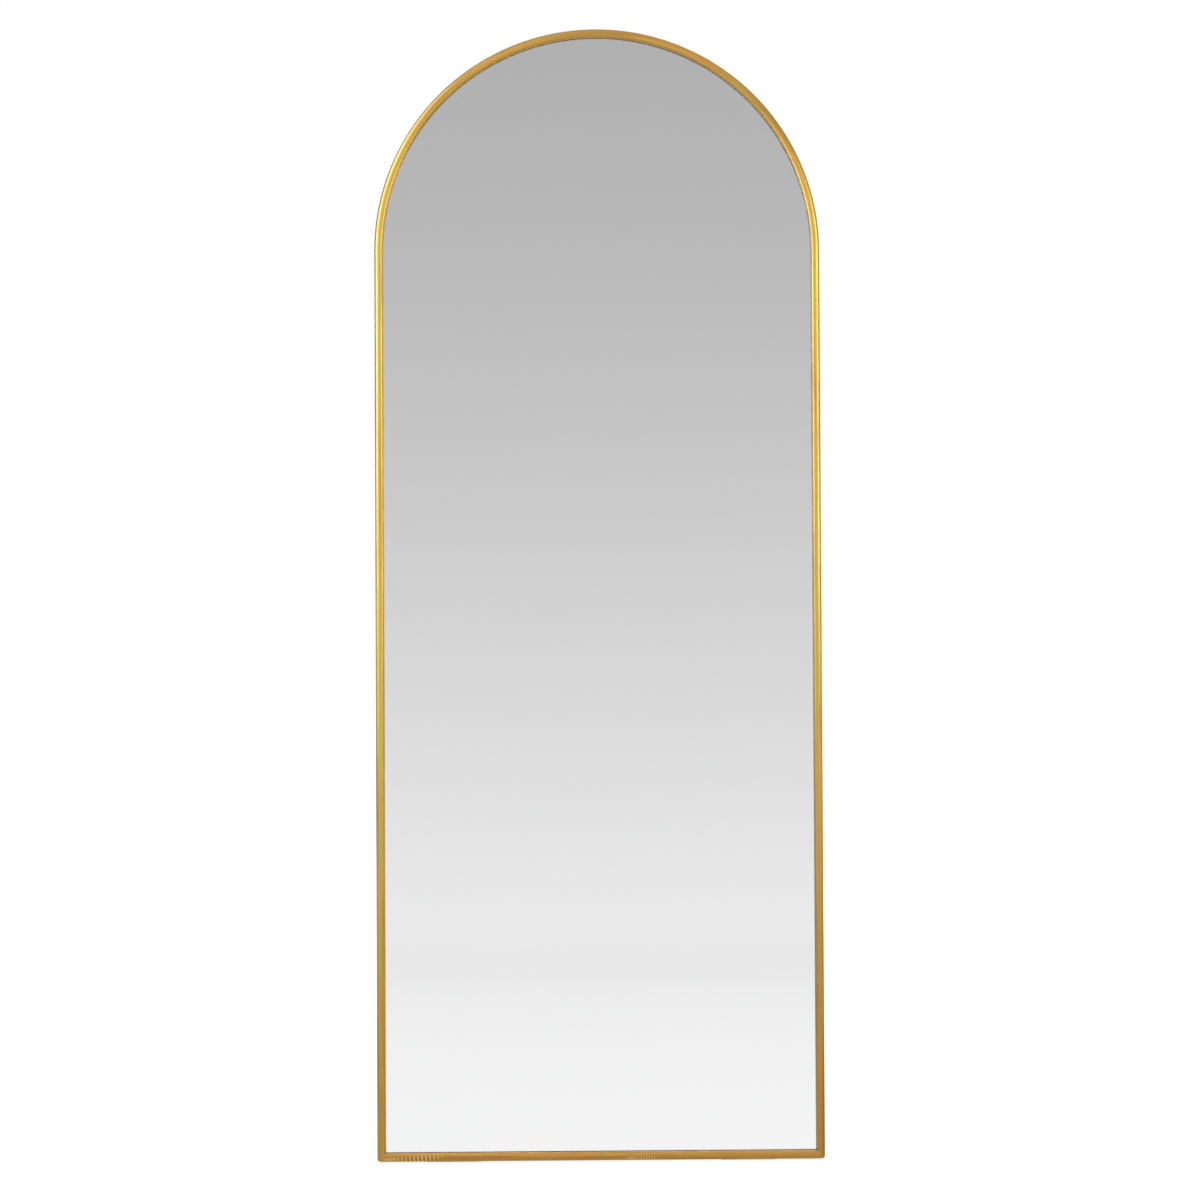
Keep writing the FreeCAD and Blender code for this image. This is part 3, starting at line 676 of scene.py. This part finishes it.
hoop = sweepFrame(
    "frameHoop", materials["brass_frame"], "frame_hoop",
    [(leftCorner, right, up), (rightCorner, -right, up)], hoopMiddle, hoopDistance,
)
rail = sweepFrame(
    "bottomRail", materials["brass_rail"], "bottom_rail",
    [(leftCorner, up, right), (rightCorner, up, -right)],
    lambda bm, face: growFace(bm, face, right * (outline["width"] - 2 * outline["cornerRadius"])),
    lambda point: point.x,
)
print("frame swept:", len(hoop.data.polygons), "and", len(rail.data.polygons), "faces")


# flat arched pieces: the pane and the board
plates = {
    "pane": {"inset": 9.0, "bottom": 10.5, "front": 4.83, "thickness": 3.94, "arris": 0.35},
    "board": {"inset": 9.0, "bottom": 10.5, "front": 10.7, "thickness": 9.0, "arris": 0.5},
}
plateSteps = 128  # round the arch


def makePlate(name, size, material, node):
    bm = bmesh.new()
    reach = halfWidth - size["inset"]
    low = [bm.verts.new((x, size["front"], size["bottom"])) for x in (-reach, reach)]
    start = bm.verts.new((-reach, size["front"], springHeight))
    bm.edges.new((low[0], start))
    arc = bmesh.ops.spin(
        bm, geom=[start], cent=up * springHeight, axis=(0, 1, 0), angle=math.pi, steps=plateSteps,
    )
    end = [g for g in arc["geom_last"] if isinstance(g, bmesh.types.BMVert)][0]
    bm.edges.new((end, low[1]))
    bm.edges.new((low[1], low[0]))
    bmesh.ops.contextual_create(bm, geom=bm.edges[:])
    grown = bmesh.ops.extrude_face_region(bm, geom=bm.faces[:])["geom"]
    moved = [g for g in grown if isinstance(g, bmesh.types.BMVert)]
    bmesh.ops.translate(bm, verts=moved, vec=(0, size["thickness"], 0))
    rims = [e for e in bm.edges if abs(e.verts[0].co.y - e.verts[1].co.y) < 1e-4]
    bmesh.ops.bevel(
        bm, geom=rims, offset=size["arris"], segments=1, profile=0.5, affect="EDGES",
        material=-1, clamp_overlap=True,
    )
    bmesh.ops.recalc_face_normals(bm, faces=bm.faces)
    bm.transform(leanMatrix())
    return finishPiece(name, bm, material, "mirror", [node], smoothAngle=25)


makePlate("mirrorPane", plates["pane"], materials["clear_glass"], "mirror_glass")
makePlate("backBoard", plates["board"], materials["fibreboard"], "backing_board")
print("pane and board made")


# pressed and moulded fittings: copies of the solid pieces with their edges eased
easedPieces = {
    "upper_bar": ("upperBar", 0.35, "zinc_steel"),
    "lower_bar": ("lowerBar", 0.35, "zinc_steel"),
    "board_clips": ("boardClips", 0.18, "zinc_steel"),
    "hanger_plate_left": ("hangerStrapLeft", 0.2, "zinc_steel"),
    "hanger_plate_right": ("hangerStrapRight", 0.2, "zinc_steel"),
    "foot_left": ("footLeft", 0.25, "clear_rubber"),
    "foot_right": ("footRight", 0.25, "clear_rubber"),
    "upper_bumpers": ("upperBumpers", 0.3, "black_rubber"),
    "lower_bumpers": ("lowerBumpers", 0.3, "black_rubber"),
}
easing = {"sameFace": 0.5, "sharp": 40.0, "segments": 2}  # angles in degrees


def makeEased(node, name, width, slotName):
    bm = bmesh.new()
    bm.from_mesh(nodes[node].data)
    bmesh.ops.remove_doubles(bm, verts=bm.verts, dist=1e-6)
    sameFace, sharpFrom = (math.radians(easing[k]) for k in ("sameFace", "sharp"))
    bmesh.ops.dissolve_limit(bm, angle_limit=sameFace, verts=bm.verts, edges=bm.edges)
    sharp = [e for e in bm.edges if e.is_manifold and e.calc_face_angle(0.0) > sharpFrom]
    bmesh.ops.bevel(
        bm, geom=sharp, offset=width * mm, segments=easing["segments"], profile=0.5, affect="EDGES",
        material=-1, clamp_overlap=True,
    )
    for face in bm.faces:
        face.material_index = 0
    return finishPiece(name, bm, materials[slotName], "mirror", [node])


for node, (name, width, slotName) in easedPieces.items():
    makeEased(node, name, width, slotName)
print("fittings eased")

# every other solid keeps its shape and takes its finish
replacedNodes = {"frame_hoop", "bottom_rail", "mirror_glass", "backing_board", *easedPieces}
slotOf = {entry["node"]: entry["material_slot"] for entry in frame["record"]["subparts"]}
for node, piece in nodes.items():
    if node not in replacedNodes:
        piece.data.materials[0] = materials[slotOf[node]]
print("finishes given to", len(nodes) - len(replacedNodes), "solid pieces")


# studio: floor, world and lamps, none of it part of the mirror
studio = {
    "floorSize": 24.0,
    "floorColour": (0.55, 0.55, 0.55),
    "floorGlow": 0.78,
    "floorInMirror": (1.01, 0.90),    # near the mirror and far from it
    "floorInMetal": 0.52,
    "fill": 0.62,
    # what the mirror shows against the sine of the direction's height
    "mirrored": [
        (0.0, 0.892), (0.08, 0.762), (0.17, 0.626), (0.25, 0.527), (0.34, 0.457), (0.6, 0.50), (1.0, 0.75),
    ],
    # what bare metal shows: even in front, darker overhead and at the sides
    "metal": [(-1.0, 0.60), (0.0, 0.86), (0.12, 0.76), (0.30, 0.72), (0.55, 0.68), (1.0, 0.66)],
    "sideShade": (0.42, 0.90, 0.56),  # from this share of sideways, to this share, down to this level
}
studioLamps = {
    "leftBox": {
        "place": (-1.68, -2.30, 2.34),
        "aim": (0.0, 0.0, 1.4),
        "size": (1.10, 2.3),
        "power": 24.0,
    },
    "rightBox": {
        "place": (1.66, -2.26, 1.78),
        "aim": (0.0, 0.0, 1.3),
        "size": (0.80, 1.3),
        "power": 9.5,
    },
    "overhead": {
        "place": (0.0, -1.6, 3.4),
        "aim": (0.0, 0.0, 0.9),
        "size": (2.4, 1.4),
        "power": 40.0,
        "soft": True,                 # not seen in the metal
    },
    "backFill": {
        "place": (0.0, 3.2, 2.6),
        "aim": (0.0, 0.0, 0.9),
        "size": (2.4, 1.4),
        "power": 34.0,
    },
}


def makeFloor():
    bm = bmesh.new()
    bmesh.ops.create_grid(bm, x_segments=1, y_segments=1, size=studio["floorSize"])
    mesh = bpy.data.meshes.new("studioFloor")
    bm.to_mesh(mesh)
    bm.free()
    floor = bpy.data.objects.new("studioFloor", mesh)
    bpy.context.scene.collection.objects.link(floor)
    material = bpy.data.materials.new("studioFloor")
    material.use_nodes = True
    tree = material.node_tree
    tree.nodes.remove(tree.nodes["Principled BSDF"])
    diffuse = addNode(tree, "ShaderNodeBsdfDiffuse", {"Color": (*studio["floorColour"], 1.0)}).outputs[0]
    glow = addNode(tree, "ShaderNodeEmission", {"Strength": studio["floorGlow"]}).outputs[0]
    lit = addNode(tree, "ShaderNodeAddShader", {0: diffuse, 1: glow}).outputs[0]
    forwards = splitVector(tree, objectPlace(tree))["Y"]
    level = mapValue(tree, forwards, 0.0, -studio["floorSize"] / 2, *studio["floorInMirror"])
    inMirror = addNode(tree, "ShaderNodeEmission", {"Strength": level}).outputs[0]
    inMetal = addNode(tree, "ShaderNodeEmission", {"Strength": studio["floorInMetal"]}).outputs[0]
    # metal and other shiny surfaces ask by glossy rays, the mirror through its glass
    rays = addNode(tree, "ShaderNodeLightPath").outputs
    seen = lit
    for ray, shown in (("Is Glossy Ray", inMetal), ("Is Transmission Ray", inMirror)):
        seen = addNode(tree, "ShaderNodeMixShader", {0: rays[ray], 1: seen, 2: shown}).outputs[0]
    tree.links.new(seen, tree.nodes["Material Output"].inputs["Surface"])
    mesh.materials.append(material)


def heightRamp(tree, height, stopsAt):
    ramp = addNode(tree, "ShaderNodeValToRGB", {"Fac": height})
    stops = ramp.color_ramp.elements
    while len(stops) < len(stopsAt):
        stops.new(0.5)
    for stop, (sine, level) in zip(stops, stopsAt):
        stop.position = (sine + 1) / 2
        stop.color = (level, level, level, 1.0)
    return ramp.outputs["Color"]


def makeWorld():
    world = bpy.data.worlds.new("studioWorld")
    bpy.context.scene.world = world
    world.use_nodes = True
    tree = world.node_tree
    direction = splitVector(tree, addNode(tree, "ShaderNodeTexCoord").outputs["Generated"])
    height = mapValue(tree, direction["Z"], -1.0, 1.0, 0.0, 1.0)
    start, end, level = studio["sideShade"]
    shade = mapValue(tree, mathNode(tree, "ABSOLUTE", direction["X"]), start, end, 1.0, level)
    inMetal = mixColours(tree, 1.0, heightRamp(tree, height, studio["metal"]), shade, "MULTIPLY")
    inMirror = heightRamp(tree, height, studio["mirrored"])
    rays = addNode(tree, "ShaderNodeLightPath").outputs
    colour = mixColours(tree, rays["Is Camera Ray"], (studio["fill"],) * 3, (1.0, 1.0, 1.0))
    colour = mixColours(tree, rays["Is Glossy Ray"], colour, inMetal)
    colour = mixColours(tree, rays["Is Transmission Ray"], colour, inMirror)
    tree.links.new(colour, tree.nodes["Background"].inputs["Color"])


def makeLamps():
    for name, look in studioLamps.items():
        data = bpy.data.lights.new(name, "AREA")
        data.shape = "RECTANGLE"
        data.size, data.size_y = look["size"]
        data.energy = look["power"]
        lamp = bpy.data.objects.new(name, data)
        lamp.visible_glossy = not look.get("soft", False)
        lamp.location = look["place"]
        direction = Vector(look["aim"]) - Vector(look["place"])
        lamp.rotation_euler = direction.to_track_quat("-Z", "Y").to_euler()
        bpy.context.scene.collection.objects.link(lamp)


makeFloor()
makeWorld()
makeLamps()
print("studio ready")


# camera: measured from the photograph's outline, distances in metres, angles in degrees
view = {
    "distance": 4.0,
    "height": 4.80,
    "side": -0.794,
    "roll": -0.203,
    "focal": 2511.5,         # in pixels of a 1200 pixel picture
    "offset": (-1.3, -7.6),  # pixels
    "picture": 1200.0,       # pixels
    "sensor": 36.0,          # millimetres
}


def makeCamera():
    middle = leanMatrix() @ Vector((0, 0, outline["height"] / 2))
    el, az, roll = (math.radians(view[k]) for k in ("height", "side", "roll"))
    away = Vector((math.sin(az) * math.cos(el), -math.cos(az) * math.cos(el), math.sin(el)))
    across = (-away).cross(Vector((0, 0, 1))).normalized()
    upward = across.cross(-away)
    turnedAcross = across * math.cos(roll) + upward * math.sin(roll)
    turnedUp = upward * math.cos(roll) - across * math.sin(roll)
    place = middle + away * view["distance"]
    pixel = view["distance"] / view["focal"]
    aim = middle - turnedAcross * view["offset"][0] * pixel + turnedUp * view["offset"][1] * pixel
    back = (place - aim).normalized()
    turnedAcross = turnedUp.cross(back).normalized()
    turnedUp = back.cross(turnedAcross)
    data = bpy.data.cameras.new("photoView")
    data.sensor_width = view["sensor"]
    data.lens = view["focal"] * view["sensor"] / view["picture"]
    camera = bpy.data.objects.new("photoView", data)
    turn = Matrix((turnedAcross, turnedUp, back)).transposed().to_4x4()
    camera.matrix_world = Matrix.Translation(place) @ turn
    bpy.context.scene.collection.objects.link(camera)
    bpy.context.scene.camera = camera


makeCamera()
bpy.context.scene.view_settings.view_transform = "Standard"
